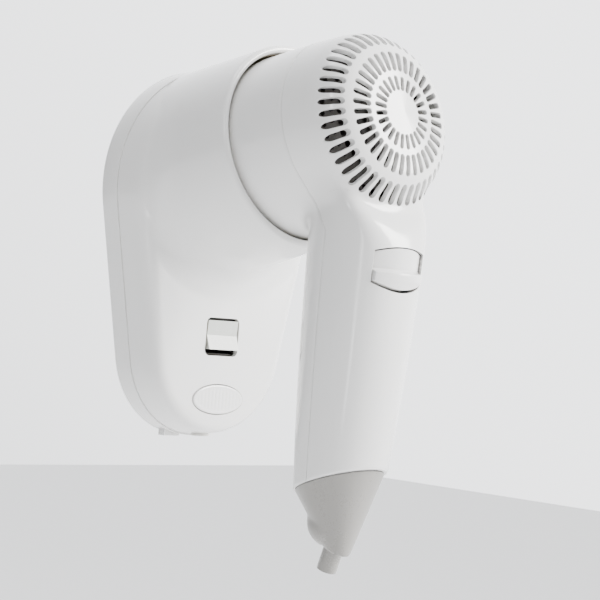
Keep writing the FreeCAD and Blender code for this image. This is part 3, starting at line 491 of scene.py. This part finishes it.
def extra_loops(thing, offsets=(0.15, 0.5, 1.0)):
    """Adds edge loops beside the seams, so that their rounded edges are smooth."""
    work = bmesh.new()
    work.from_mesh(thing.data)

    def slice_near(point, normal, chosen):
        for offset in offsets:
            for side in (-offset, offset):
                everything = list(work.faces)
                centres = np.array([f.calc_center_median() for f in everything]) / MM
                faces = [everything[i] for i in np.flatnonzero(chosen(centres))]
                geometry = set(faces)
                for face in faces:
                    geometry.update(face.edges)
                    geometry.update(face.verts)
                bmesh.ops.bisect_plane(
                    work, geom=list(geometry), dist=1e-7,
                    plane_co=Vector(point + normal * side) * MM, plane_no=Vector(normal))
    for i, (start, end) in enumerate(zip(SEAM, SEAM[1:])):
        run = (end - start) / np.linalg.norm(end - start)
        normal = np.array([0, -run[1], run[0]])

        def chosen(centres, i=i):
            gaps = seam_parts(centres)
            return (gaps.argmin(-1) == i) & (gaps[:, i] < 3)
        slice_near(np.array([0, *start]), normal, chosen)
    tilt = np.array([0, *JOINT_NORMAL])
    slice_near(np.array([0, *JOINT_AT]), tilt,
               lambda c: np.abs((c[:, 1:] - JOINT_AT) @ JOINT_NORMAL) < 3)
    slice_near(AXIS_START + AXIS * OUTLET_STATION, AXIS,
               lambda c: np.abs((c - AXIS_START) @ AXIS - OUTLET_STATION) < 3)
    bmesh.ops.triangulate(work, faces=[f for f in work.faces if len(f.verts) > 4])
    work.to_mesh(thing.data)
    work.free()


def hollow_skin(skin, thickness, edge_round=0.45, edge_reach=1.0):
    """Closed hollow solid: the rounded outer skin and an inner skin facing the other way."""
    points = coordinates(skin.data) / MM
    normal = gradient(hand_distance, points)
    normal /= np.linalg.norm(normal, axis=1, keepdims=True)
    share = np.clip(1 - edge_gap(points) / edge_reach, 0, 1)
    outer = points - normal * (edge_round * share ** 2)[:, None]
    inner = points - normal * thickness
    faces = [tuple(f.vertices) for f in skin.data.polygons]
    count = len(points)
    faces += [tuple(count + v for v in reversed(f)) for f in faces]
    return new_object(skin.name + "_hollow", np.concatenate([outer, inner]), faces)


def copy_of(thing, name):
    twin = bpy.data.objects.new(name, thing.data.copy())
    bpy.context.scene.collection.objects.link(twin)
    return twin


def side_prism(name, outline, half=80.0):
    """Prism along X from an outline of (y, z)."""
    rings = [[(x, y, z) for y, z in outline] for x in (-half, half)]
    return closed_tube(name, rings)


def round_prism(name, radius, start, end, sides=48):
    start, end = np.array(start, float), np.array(end, float)
    along = (end - start) / np.linalg.norm(end - start)
    first = np.cross(along, (0, 0, 1) if abs(along[2]) < 0.9 else (1, 0, 0))
    first /= np.linalg.norm(first)
    second = np.cross(along, first)
    turn = np.arange(sides) * 2 * math.pi / sides
    rings = [[p + radius * (math.cos(a) * first + math.sin(a) * second) for a in turn]
             for p in (start, end)]
    return closed_tube(name, rings)


def below_joint(name, drop):
    """Large block under the slanted joint of the handle and its end cap."""
    run = np.array([-JOINT_NORMAL[1], JOINT_NORMAL[0]])
    top = JOINT_AT - JOINT_NORMAL * drop
    return side_prism(name, [top + run * 90, top - run * 90, top - run * 90 - JOINT_NORMAL * 90,
                             top + run * 90 - JOINT_NORMAL * 90])


def dome_station(radius):
    profile = DOME_PROFILE[3:][::-1]
    return np.interp(radius, profile[:, 0], profile[:, 1])


def slot_cutters():
    """Round-ended slots in three rings; their mouths flare along the curved surface."""
    vertices, faces = [], []
    for count, inner, outer, half in GRILLE_RINGS:
        near, far = inner + half, outer - half
        outline = [(near + (far - near) * t, -half) for t in np.linspace(0, 1, 9)[:-1]]
        outline += [(far + half * math.sin(a), -half * math.cos(a))
                    for a in np.linspace(0, math.pi, 9)[:-1]]
        outline += [(far - (far - near) * t, half) for t in np.linspace(0, 1, 9)[:-1]]
        outline += [(near - half * math.sin(a), half * math.cos(a))
                    for a in np.linspace(0, math.pi, 9)[:-1]]
        outline = np.array(outline)
        spine = np.clip(outline[:, 0], near, far)
        away = (outline - np.stack([spine, 0 * spine], -1)) / half
        rings = []
        steps = ((0, 0, SLOT_FLOOR), (-0.5, 0, None), (-0.2, 0.05, None), (0.0, 0.20, None),
                 (0.6, 0.27, None), (0, 0.27, SLOT_TOP))
        for depth, grow, level in steps:
            flat = outline + away * grow
            reach = np.hypot(flat[:, 0], flat[:, 1])
            if level is not None:
                top = np.full(len(flat), level)
                rings.append(np.stack([flat[:, 0], flat[:, 1], top], -1))
                continue
            rise = dome_station(reach)
            lean = (dome_station(reach + 0.2) - dome_station(reach - 0.2)) / 0.4
            size = np.hypot(lean, 1)
            shift = -lean / size * depth
            rings.append(np.stack([flat[:, 0] * (1 + shift / reach),
                                   flat[:, 1] * (1 + shift / reach),
                                   rise + depth / size], -1))
        rings = np.array(rings)
        n = len(outline)
        for i in range(count):
            a = (i + 0.5) * 2 * math.pi / count
            across = rings[..., 0] * math.cos(a) - rings[..., 1] * math.sin(a)
            up = rings[..., 0] * math.sin(a) + rings[..., 1] * math.cos(a)
            world = AXIS_START + AXIS * rings[..., 2:] + AXIS_UP * up[..., None] + \
                np.array([1.0, 0, 0]) * across[..., None]
            first = len(vertices)
            vertices.extend(world.reshape(-1, 3))
            faces += [tuple(first + v for v in f) for f in grid_faces(len(rings), n)]
            faces += [tuple(range(first, first + n))[::-1],
                      tuple(range(first + (len(rings) - 1) * n, first + len(rings) * n))]
    cutter = new_object("slot_cutters", vertices, faces)
    recalculate(cutter)
    return cutter


def thumb_outline(grow, steps=24):
    half = THUMB_HALF + grow
    across = np.linspace(-half, half, steps + 1)
    arch = 1 - (across / half) ** 2
    top = THUMB_TOP + grow + THUMB_ARCH_TOP * arch
    low = THUMB_LOW - grow - THUMB_ARCH_LOW * arch
    sides = np.linspace(0, 1, 7)[1:-1]
    right = [(half, top[-1] + (low[-1] - top[-1]) * t) for t in sides]
    left = [(-half, low[0] + (top[0] - low[0]) * t) for t in sides]
    return np.array(list(zip(across, top)) + right + list(zip(across[::-1], low[::-1])) + left)


def handle_face(x, z, proud=0.0):
    """Y of the room side of the handle."""
    across, deep = handle_size(z)
    inside = np.clip(1 - (x / (across + proud)) ** 2, 0.02, 1)
    return handle_middle(z) - (deep + proud) * np.sqrt(inside)


def thumb_cutter(grow, flare):
    """Block through the window; with flare, its mouth opens along the handle's surface."""
    outline = thumb_outline(grow)
    middle = np.array([0, -6.3])
    steps = ((-108.0, 0, 0), (None, 1.2, 0), (None, 0.3, 0.05), (None, -0.1, 0.4),
             (None, -1.2, 1.3), (-150.0, 0, 1.3)) if flare else \
        ((-108.0, 0, 0), (-150.0, 0, 0))
    rings = []
    for level, depth, spread in steps:
        away = outline - middle
        flat = outline + away / np.linalg.norm(away, axis=1, keepdims=True) * spread
        y = handle_face(flat[:, 0], flat[:, 1]) + depth if level is None else \
            np.full(len(flat), level)
        rings.append(np.stack([flat[:, 0], y, flat[:, 1]], -1))
    return closed_tube("thumb_cutter", rings)


def make_hand_shells():
    skin = hand_skin()
    extra_loops(skin)
    points = pull_to_surface(hand_distance, coordinates(skin.data) / MM, 1)
    skin.data.vertices.foreach_set("co", (points * MM).ravel())
    whole = hollow_skin(skin, SHELL)
    bpy.data.objects.remove(skin)
    cut(whole, below_joint("below_joint", 0))
    behind_mouth = round_prism("behind_mouth", 70, AXIS_START + AXIS * (OUTLET_STATION - 30),
                               AXIS_START + AXIS * OUTLET_STATION)
    cut(whole, behind_mouth)
    rear = copy_of(whole, "rear_shell")
    whole.name = "front_shell"
    for shell, side in ((rear, 1), (whole, -1)):
        shift = -SEAM_SLIT * side
        line = SEAM + np.array([[AXIS[1] * -shift, AXIS[2] * -shift], [shift, 0], [shift, 0],
                                [shift, 0]])
        line[1] = SEAM[1] + np.array([shift, 0])
        region = side_prism("seam_region", list(line) + [(-300, -160), (-300, 300),
                                                         (line[0][0], 300)])
        cut(shell, region, "INTERSECT" if side > 0 else "DIFFERENCE")
    cut(rear, thumb_cutter(0, True))
    cut(rear, slot_cutters())
    for z in HANDLE_SCREW_Z:
        middle = handle_middle(z)
        boss = round_prism("boss", BOSS_R, (0, middle + 1, z), (0, middle + 20.5, z))
        cut(whole, boss, "UNION")
        hole = round_prism("boss_hole", BOSS_HOLE_R, (0, middle + 14, z), (0, middle + 40, z))
        cut(whole, hole)
    return whole, rear


def make_hand_rocker():
    """Wide rocker that follows the round of the handle: sunk upper face, proud lower lip."""
    back = THUMB_PIVOT[1] + 2.0
    rocker = side_prism("rocker_blank", [(-150, -30), (back - 4.5, -30), (back - 4.5, -13.5),
                                         (back, -9.5), (back, -3), (back - 3, 2),
                                         (back - 3, 30), (-150, 30)], 30)
    rocker.name = "thumb_rocker"
    cut(rocker, thumb_cutter(-0.6, False), "INTERSECT")
    far = thumb_cutter(-0.4, False)
    swing = Matrix.Translation(Vector(THUMB_PIVOT) * MM) @ \
        Matrix.Rotation(math.radians(-THUMB_TRAVEL), 4, "X") @ \
        Matrix.Translation(Vector(THUMB_PIVOT) * -MM)
    far.data.transform(swing)
    cut(rocker, far, "INTERSECT")
    turn = np.arange(128) * 2 * math.pi / 128
    heights = np.concatenate([np.linspace(12, -5.6, 14), np.linspace(-6.0, -8.2, 12),
                              np.linspace(-8.6, -13.2, 12), [-14.0, -26.0]])
    proud = np.interp(heights, [-26, -14.6, -13.2, -11, -8.4, -7.7, -6.9, -6.2, 12],
                      [-0.6, -0.4, 0.35, 0.85, 1.0, 0.85, -1.1, -1.6, -1.6])
    tube = []
    for z, out in zip(heights, proud):
        across, deep = handle_size(z)
        tube.append([((across + out) * math.sin(a),
                      handle_middle(z) + (deep + out) * math.cos(a), z) for a in turn])
    cut(rocker, closed_tube("rocker_face", tube), "INTERSECT")
    modify(rocker, "BEVEL", width=0.4 * MM, segments=3, limit_method="ANGLE",
           angle_limit=math.radians(50), harden_normals=False)
    pin = round_prism("pin", THUMB_PIN_R, THUMB_PIVOT - (THUMB_PIN_HALF, 0, 0),
                      THUMB_PIVOT + (THUMB_PIN_HALF, 0, 0), 24)
    cut(rocker, pin, "UNION")
    return rocker


# ------------------------------------------------------------------ end cap of the handle
def swing_outline():
    """Outline in (y, z) of the slot in which the cord swivel swings."""
    def towards(angle):
        return np.array([math.sin(angle), -math.cos(angle)])
    hub, quarter = CORD_PIVOT[1:], math.pi / 2
    first, last = SWING_FIRST, SWING_LAST
    hub_side = np.linspace(last + quarter, first + 3 * quarter, 16)
    outline = [hub + towards(a) * SWING_ROOM for a in hub_side]
    outline.append(hub + towards(first) * SWING_REACH + towards(first - quarter) * SWING_ROOM)
    outline += [hub + towards(a) * (SWING_REACH + SWING_ROOM)
                for a in np.linspace(first, last, 5)]
    outline.append(hub + towards(last) * SWING_REACH + towards(last + quarter) * SWING_ROOM)
    return outline


def make_handle_cap():
    """End cap: funnel and bulb in one skin, hollow inside, with the swivel's slot."""
    rows, columns = 30, 96
    turn = np.arange(columns) * 2 * math.pi / columns
    uphill = np.array([0, -math.cos(CAP_SLOPE), math.sin(CAP_SLOPE)])
    across, deep = handle_size(JOINT_Z)
    top_centre = np.array([0, handle_middle(JOINT_Z), JOINT_Z - CAP_GAP])
    neck_up = np.array([0, -math.cos(NECK_TILT), -math.sin(NECK_TILT)])

    def funnel(name, offset, rise):
        rim = [top_centre + (0, 0, rise) + np.array([1, 0, 0]) * (across - offset) * math.cos(a)
               + uphill * (deep - offset) / math.cos(CAP_SLOPE) * math.sin(a) for a in turn]
        neck = [NECK + np.array([1, 0, 0]) * (NECK_R - offset * 0.4) * math.cos(a)
                + neck_up * (NECK_R - offset * 0.4) * math.sin(a) for a in turn]
        rim, neck = np.array(rim), np.array(neck)
        return closed_tube(name, [rim + (neck - rim) * t for t in np.linspace(0, 1, rows)])
    base = funnel("cap_funnel", 0.35, 1.2)
    bulb = [[(BULB_R * math.sin(t) * math.cos(a), BULB_Y + BULB_R * math.sin(t) * math.sin(a),
              BULB_Z + BULB_R * math.cos(t)) for a in turn]
            for t in np.linspace(0.02, math.pi - 0.02, 40)]
    work = bmesh.new()
    work.from_mesh(base.data)
    sphere = closed_tube("cap_bulb", bulb)
    work.from_mesh(sphere.data)
    work.to_mesh(base.data)
    work.free()
    bpy.data.objects.remove(sphere)
    modify(base, "REMESH", mode="VOXEL", voxel_size=CAP_VOXEL * MM, use_smooth_shade=True)
    modify(base, "CORRECTIVE_SMOOTH", factor=0.5, iterations=14, smooth_type="LENGTH_WEIGHTED",
           use_only_smooth=True)
    cut(base, below_joint("cap_region", CAP_GAP), "INTERSECT")
    inner = funnel("cap_inside", 2.3, 3.0)
    cut(inner, below_joint("cap_floor", CAP_GAP + 11))
    cut(base, inner)
    cut(base, side_prism("swing_room", swing_outline(), SWING_HALF))
    modify(base, "BEVEL", width=0.35 * MM, segments=2, limit_method="ANGLE",
           angle_limit=math.radians(50))
    base.name = "end_cap"
    return base


# ------------------------------------------------------------------ build the new pieces
def place(thing, body, stands_for, sharp=32):
    """Smooth a finished piece, tie it to its body and hide the CAD node it stands for."""
    smooth(thing, sharp)
    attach(thing, body)
    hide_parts(*stands_for)
    return thing


def make_oval_cap():
    """Pressed-in oval cap with a rounded rim and faint upright ribs."""
    low, high = (np.array(v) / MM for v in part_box("oval_cap"))
    count, rings = 96, []
    turn = np.arange(count) * 2 * math.pi / count
    steps = ((0.0, high[1]), (0.0, low[1] + 0.5), (-0.15, low[1] + 0.15), (-0.5, low[1]))
    for grow, y in steps:
        rings.append([((OVAL_LONG + grow) * math.cos(a), y,
                       OVAL_Z + (OVAL_SHORT + grow) * math.sin(a)) for a in turn])
    for share in np.linspace(1, 0.04, 24)[1:]:
        ring = []
        for a in turn:
            x = (OVAL_LONG - 0.5) * share * math.cos(a)
            z = OVAL_Z + (OVAL_SHORT - 0.5) * share * math.sin(a)
            dip = 0.12 * max(0.0, math.cos(x * 2 * math.pi / 2.1)) * (share < 0.9)
            ring.append((x, low[1] + dip, z))
        rings.append(ring)
    return closed_tube("oval_plug", rings)


cover = make_front_cover()
cut(cover, prism("rocker_window", rounded_rectangle(WINDOW_W, WINDOW_H, 2.5, WINDOW_Z),
                 -27.2, -6.0, 0.9))
cut(cover, prism("oval_seat", oval(OVAL_LONG + 0.35, OVAL_SHORT + 0.35, OVAL_Z), -27.0, -6.0,
                 0.7))
cut(cover, round_prism("lead_hole", GROMMET_HOLE_R, (0, GROMMET_Y, -95), (0, GROMMET_Y, -74)))
cover.name = "cover_skin"
place(cover, "root", ["front_cover"])
plug = make_oval_cap()
place(plug, "root", ["oval_cap"], 40)
front, rear = make_hand_shells()
place(front, "hand_unit", ["front_housing"])
place(rear, "hand_unit", ["rear_housing"], 28)
thumb = make_hand_rocker()
place(thumb, "hand_rocker", ["hand_rocker"], 35)
end_cap = make_handle_cap()
place(end_cap, "hand_unit", ["handle_cap"], 38)


# ------------------------------------------------------------------ materials
def build_material(name, colour, roughness, tint=0.03, grain=900.0, bump=0.05, crease_shade_strength=0.35,
                   metallic=0.0, coat=0.0, scratches=0.3, subsurface=0.0, crease_shade_tone=None):
    """Moulded plastic or metal: uneven tone, uneven gloss, fine grain, bumped scuffs, and
    painted shade darkening the colour in creases.
    """
    material = bpy.data.materials.new(name)
    material.use_nodes = True
    tree = material.node_tree
    nodes_of, links = tree.nodes, tree.links
    nodes_of.clear()
    output = nodes_of.new("ShaderNodeOutputMaterial")
    shader = nodes_of.new("ShaderNodeBsdfPrincipled")
    shader.inputs["Metallic"].default_value = metallic
    shader.inputs["Coat Weight"].default_value = coat
    shader.inputs["Coat Roughness"].default_value = 0.12
    shader.inputs["IOR"].default_value = 1.49
    if subsurface:
        shader.inputs["Subsurface Weight"].default_value = subsurface
        shader.inputs["Subsurface Radius"].default_value = (0.0012, 0.001, 0.0008)
    links.new(shader.outputs[0], output.inputs[0])
    where = nodes_of.new("ShaderNodeTexCoord")

    def noise(scale, detail, roughness_value=0.5, stretch=None):
        source = where.outputs["Object"]
        if stretch:
            mapping = nodes_of.new("ShaderNodeMapping")
            mapping.inputs["Scale"].default_value = stretch
            links.new(source, mapping.inputs["Vector"])
            source = mapping.outputs["Vector"]
        node = nodes_of.new("ShaderNodeTexNoise")
        node.inputs["Scale"].default_value = scale
        node.inputs["Detail"].default_value = detail
        node.inputs["Roughness"].default_value = roughness_value
        links.new(source, node.inputs["Vector"])
        return node.outputs["Fac"]

    def remap(source, low, high, out_low, out_high):
        node = nodes_of.new("ShaderNodeMapRange")
        for key, value in zip(("From Min", "From Max", "To Min", "To Max"),
                              (low, high, out_low, out_high)):
            node.inputs[key].default_value = value
        links.new(source, node.inputs["Value"])
        return node.outputs["Result"]

    def feed(node, pairs):
        for index, value in pairs:
            if hasattr(value, "links"):
                links.new(value, node.inputs[index])
            else:
                node.inputs[index].default_value = value

    def mix(factor, first, second):
        node = nodes_of.new("ShaderNodeMix")
        node.data_type = "RGBA"
        feed(node, ((0, factor), (6, first), (7, second)))
        return node.outputs[2]

    def maths(kind, first, second):
        node = nodes_of.new("ShaderNodeMath")
        node.operation = kind
        feed(node, ((0, first), (1, second)))
        return node.outputs[0]

    base = (*colour, 1)
    shade = tuple(c * (1 - tint * 2.2) for c in colour[:2]) + (colour[2] * (1 - tint * 4.5), 1)
    cloud = remap(noise(26, 4), 0.35, 0.75, 0.0, 1.0)
    tone = mix(maths("MULTIPLY", cloud, tint * 12), base, shade)
    # Painted shade: ambient occlusion darkens the colour in creases, gaps and slots towards a
    # dark tone, broken up by speckle noise.
    crease = nodes_of.new("ShaderNodeAmbientOcclusion")
    crease.samples = 6
    crease.inputs["Distance"].default_value = 0.0035
    crease_shade_mask = remap(crease.outputs["AO"], 0.25, 0.85, crease_shade_strength, 0.0)
    speck = remap(noise(420, 3, 0.7), 0.35, 0.7, 0.35, 1.0)
    crease_shade_colour = (*(crease_shade_tone or (colour[0] * 0.42, colour[1] * 0.36, colour[2] * 0.24)), 1)
    tone = mix(maths("MULTIPLY", crease_shade_mask, speck), tone, crease_shade_colour)
    links.new(tone, shader.inputs["Base Color"])
    smear = remap(noise(60, 6, 0.6, (1, 1, 0.35)), 0.3, 0.75, roughness * 0.8,
                  min(1.0, roughness * 1.45))
    fine = remap(noise(1600, 2), 0.3, 0.7, -0.02, 0.03)
    links.new(maths("ADD", smear, fine), shader.inputs["Roughness"])
    ripple = maths("MULTIPLY", noise(38, 2), 2.5)
    pores = noise(grain, 3, 0.6)
    scuff = remap(noise(130, 8, 0.75, (1, 6, 0.4)), 0.62, 0.72, 0.0, scratches)
    height = maths("ADD", maths("ADD", ripple, maths("MULTIPLY", pores, 0.35)),
                   maths("MULTIPLY", scuff, -0.2))
    relief = nodes_of.new("ShaderNodeBump")
    relief.inputs["Strength"].default_value = bump
    relief.inputs["Distance"].default_value = 0.0004
    links.new(height, relief.inputs["Height"])
    links.new(relief.outputs["Normal"], shader.inputs["Normal"])
    return material


FINISHES = {
    "white_gloss": build_material("white_gloss_plastic", (0.83, 0.83, 0.825), 0.15, 0.008,
                                  coat=0.3, subsurface=0.03, bump=0.035),
    # White gloss for the grilled rear shell: full-strength painted shade, near black, darkens
    # its slots and creases.
    "white_slot_shade": build_material("white_gloss_painted_slot_shade", (0.83, 0.83, 0.825), 0.15, 0.008,
                                   coat=0.3, subsurface=0.0, bump=0.035, crease_shade_strength=1.0,
                                   crease_shade_tone=(0.07, 0.055, 0.04)),
    # The main rocker's grey colour is painted shade of its recessed window; its strong crease
    # setting adds more painted shade.
    "rocker_grey_painted_shade": build_material("rocker_grey_painted_shade", (0.56, 0.58, 0.55), 0.24, 0.01,
                                     coat=0.2, bump=0.05, crease_shade_strength=0.9),
    "grey_plastic": build_material("grey_satin_plastic", (0.27, 0.262, 0.25), 0.26, 0.03,
                                   coat=0.2, bump=0.06),
    "dark_plastic": build_material("dark_plastic", (0.030, 0.026, 0.023), 0.5, 0.05, bump=0.12),
    "liner_plastic": build_material("liner_plastic", (0.20, 0.16, 0.095), 0.5, 0.05, bump=0.1),
    "steel": build_material("zinc_plated_steel", (0.62, 0.61, 0.59), 0.32, 0.03, metallic=1.0),
    "mica": build_material("mica_card", (0.46, 0.37, 0.24), 0.55, 0.08, bump=0.2),
    "heater_wire": build_material("heater_wire", (0.24, 0.20, 0.17), 0.42, 0.05, metallic=1.0),
    "board": build_material("circuit_board", (0.05, 0.14, 0.06), 0.45, 0.05),
    "rubber": build_material("pale_rubber", (0.66, 0.65, 0.62), 0.65, 0.03, bump=0.2),
}
NODE_FINISH = {
    "back_plate": "white_gloss", "main_rocker": "rocker_grey_painted_shade", "cup_liner": "liner_plastic",
    "main_switch_body": "dark_plastic", "terminal_block": "dark_plastic",
    "mains_cable_clamp": "dark_plastic", "park_microswitch": "dark_plastic",
    "park_plunger": "dark_plastic", "base_cord_grommet": "rubber",
    "outlet_grille": "dark_plastic", "heater_tube": "mica", "heater_former": "mica",
    "heater_coil": "heater_wire", "thermostat": "steel", "fan_duct": "dark_plastic",
    "motor_can": "steel", "rectifier_board": "board", "intake_screen": "dark_plastic",
    "hand_switch_body": "dark_plastic", "handle_screws": "steel", "cord_clamp": "dark_plastic",
    "swivel_pin": "steel", "motor_shaft": "steel", "impeller": "dark_plastic",
    "cord_swivel": "grey_plastic", "cover_screw": "steel", "terminal_screws": "steel",
    "clamp_screws": "steel",
}


def paint(thing, finish):
    """Give every material slot of a piece one finish."""
    if not thing.material_slots:
        thing.data.materials.append(FINISHES[finish])
    for slot in thing.material_slots:
        slot.material = FINISHES[finish]


for piece, finish in ((cover, "white_gloss"), (plug, "white_gloss"), (front, "white_gloss"),
                      (rear, "white_slot_shade"), (thumb, "white_gloss"),
                      (end_cap, "grey_plastic")):
    paint(piece, finish)
for node_name, finish in NODE_FINISH.items():
    paint(nodes[node_name], finish)
for node_name, width in (("back_plate", 0.7), ("main_rocker", 0.6), ("cord_swivel", 0.5),
                         ("main_switch_body", 0.3), ("terminal_block", 0.4)):
    node = nodes[node_name]
    weld = node.modifiers.new("weld", "WELD")
    weld.merge_threshold = 0.002 * MM
    rounding = node.modifiers.new("edges", "BEVEL")
    rounding.width = width * MM
    rounding.segments = 3
    rounding.limit_method = "ANGLE"
    rounding.angle_limit = math.radians(40)

# ------------------------------------------------------------------ floor, light and camera
floor_mesh = bpy.data.meshes.new("floor")
FLOOR_REACH, FLOOR_DROP = 4.0, 0.40
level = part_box("handle_cap")[0][2] - FLOOR_DROP
floor_mesh.from_pydata([(x * FLOOR_REACH, y * FLOOR_REACH, level)
                        for x, y in ((-1, -1), (1, -1), (1, 1), (-1, 1))], [], [(0, 1, 2, 3)])
floor = bpy.data.objects.new("floor", floor_mesh)
bpy.context.scene.collection.objects.link(floor)
floor_finish = build_material("pale_floor", (0.8, 0.8, 0.8), 0.7, 0.01, grain=60, bump=0.02,
                              crease_shade_strength=0.0, scratches=0.0)
floor_mesh.materials.append(floor_finish)

AIM = Vector((0.0376, -0.0356, -0.0212))
LOOK = Vector((0.6921, 0.7217, 0.0059))
RIGHT = Vector((0.7193, -0.6904, 0.0769))
UP = Vector((-0.0595, 0.049, 0.997))
CAMERA_AWAY = 0.9246

world = bpy.data.worlds.new("studio")
world.use_nodes = True
sky = world.node_tree
toward = sky.nodes.new("ShaderNodeTexCoord")
lean = sky.nodes.new("ShaderNodeVectorMath")
lean.operation = "DOT_PRODUCT"
lean.inputs[1].default_value = (LOOK * 0.62 + RIGHT * 0.55 + UP * 0.56).normalized()
sky.links.new(toward.outputs["Generated"], lean.inputs[0])
fade = sky.nodes.new("ShaderNodeMapRange")
fade.interpolation_type = "SMOOTHSTEP"
for key, value in (("From Min", -0.10), ("From Max", 0.80), ("To Min", 0.03), ("To Max", 3.4)):
    fade.inputs[key].default_value = value
sky.links.new(lean.outputs["Value"], fade.inputs["Value"])
sky.links.new(fade.outputs["Result"], sky.nodes["Background"].inputs["Strength"])
sky.nodes["Background"].inputs["Color"].default_value = (0.97, 0.98, 1.0, 1)
bpy.context.scene.world = world


def soft_box(name, direction, distance, width, height, watts, warmth=(1, 1, 1)):
    """Area light at a direction given as (right, up, towards the viewer) of the main view."""
    away = (RIGHT * direction[0] + UP * direction[1] - LOOK * direction[2]).normalized()
    light = bpy.data.lights.new(name, "AREA")
    light.shape = "RECTANGLE"
    light.size, light.size_y = width, height
    light.energy = watts
    light.color = warmth
    lamp = bpy.data.objects.new(name, light)
    bpy.context.scene.collection.objects.link(lamp)
    lamp.location = AIM + away * distance
    lamp.rotation_euler = away.to_track_quat("Z", "Y").to_euler()
    return lamp


soft_box("key_window", (1.0, 0.30, 0.10), 1.2, 0.40, 0.8, 34, (1.0, 0.98, 0.95))
soft_box("top_window", (-0.15, 1.0, 0.05), 1.3, 0.6, 0.4, 7)
soft_box("left_pane", (-0.20, 0.62, 1.0), 1.4, 0.16, 0.40, 4.0)
soft_box("cap_pane", (-0.05, -0.10, 1.0), 1.5, 0.08, 0.50, 1.6)

camera_data = bpy.data.cameras.new("camera")
camera_data.lens, camera_data.sensor_width = 120, 36
camera_data.clip_start = 0.02
camera = bpy.data.objects.new("camera", camera_data)
bpy.context.scene.collection.objects.link(camera)
back = -LOOK.normalized()
side = RIGHT.normalized()
camera.matrix_world = Matrix.Translation(AIM - LOOK.normalized() * CAMERA_AWAY) @ \
    Matrix((side, back.cross(side), back)).transposed().to_4x4()
bpy.context.scene.camera = camera
